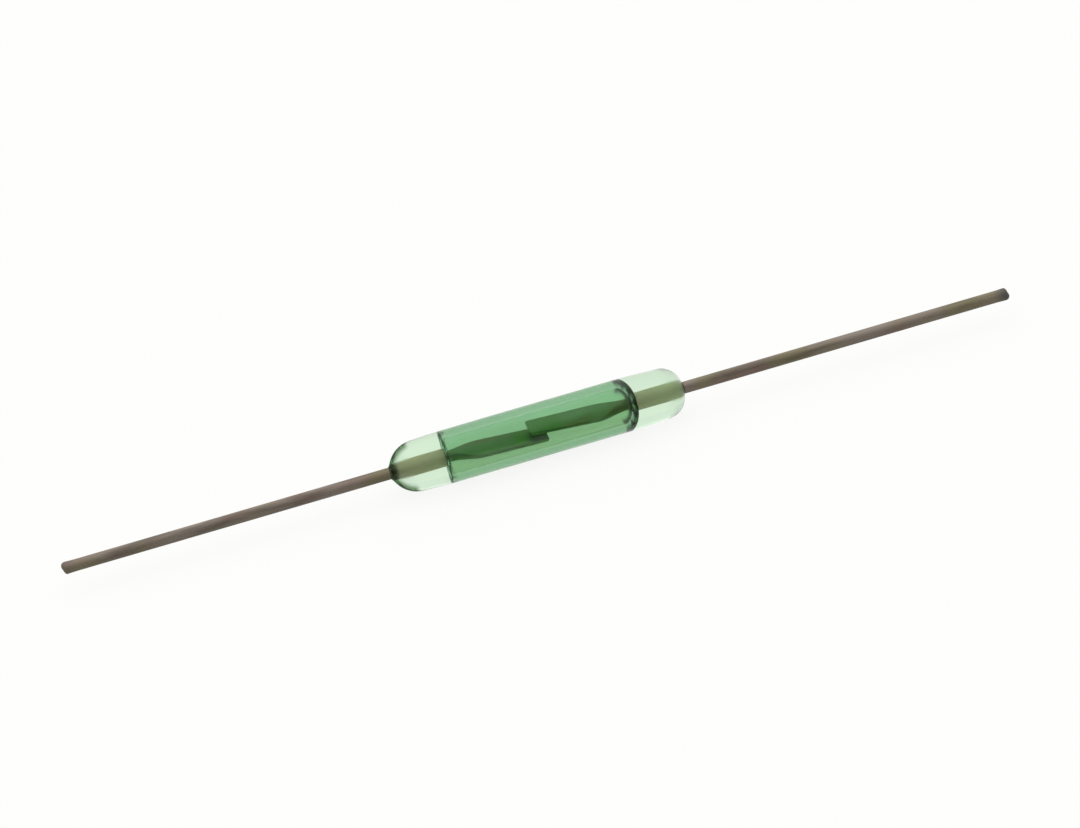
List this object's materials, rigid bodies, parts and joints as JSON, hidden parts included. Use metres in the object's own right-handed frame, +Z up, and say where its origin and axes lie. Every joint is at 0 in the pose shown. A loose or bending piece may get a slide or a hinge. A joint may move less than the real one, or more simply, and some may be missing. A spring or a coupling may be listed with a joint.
{
  "type": "reed switch",
  "caption": "Reed switch: overlapping pressed wire blades sealed in a green glass tube with straight round leads, closed by a magnetic field.",
  "frame": {"origin": "middle of the glass, on the axis of the wires", "axes": "+X along the wires, towards the lead whose blade lies on top; +Z up, square to the blades' flat faces"},
  "size_m": [0.0328, 0.0018, 0.0018],
  "materials": {
    "green_glass": "clear green glass, fire polished",
    "lead_wire": "dull plated nickel-iron wire",
    "reed_blade": "pressed nickel-iron, plated at the contact"
  },
  "bodies": {
    "envelope": {"glass_envelope": "green_glass", "left_lead": "lead_wire", "right_lead": "lead_wire"},
    "left_reed": {"left_blade": "reed_blade"},
    "right_reed": {"right_blade": "reed_blade"}
  },
  "joints": [
    {"name": "left_flex", "type": "hinge", "parent": "envelope", "child": "left_reed", "pos_m": [-0.003, 0, 0], "axis": [0, -1, 0], "range_deg": [0, 1.89], "stiffness_Nm_per_rad": 0.0003},
    {"name": "right_flex", "type": "hinge", "parent": "envelope", "child": "right_reed", "pos_m": [0.003, 0, 0], "axis": [0, -1, 0], "range_deg": [0, 1.89], "stiffness_Nm_per_rad": 0.0003}
  ],
  "couplings": [
    {"joint": "right_flex", "follows": "left_flex", "ratio": 1}
  ]
}
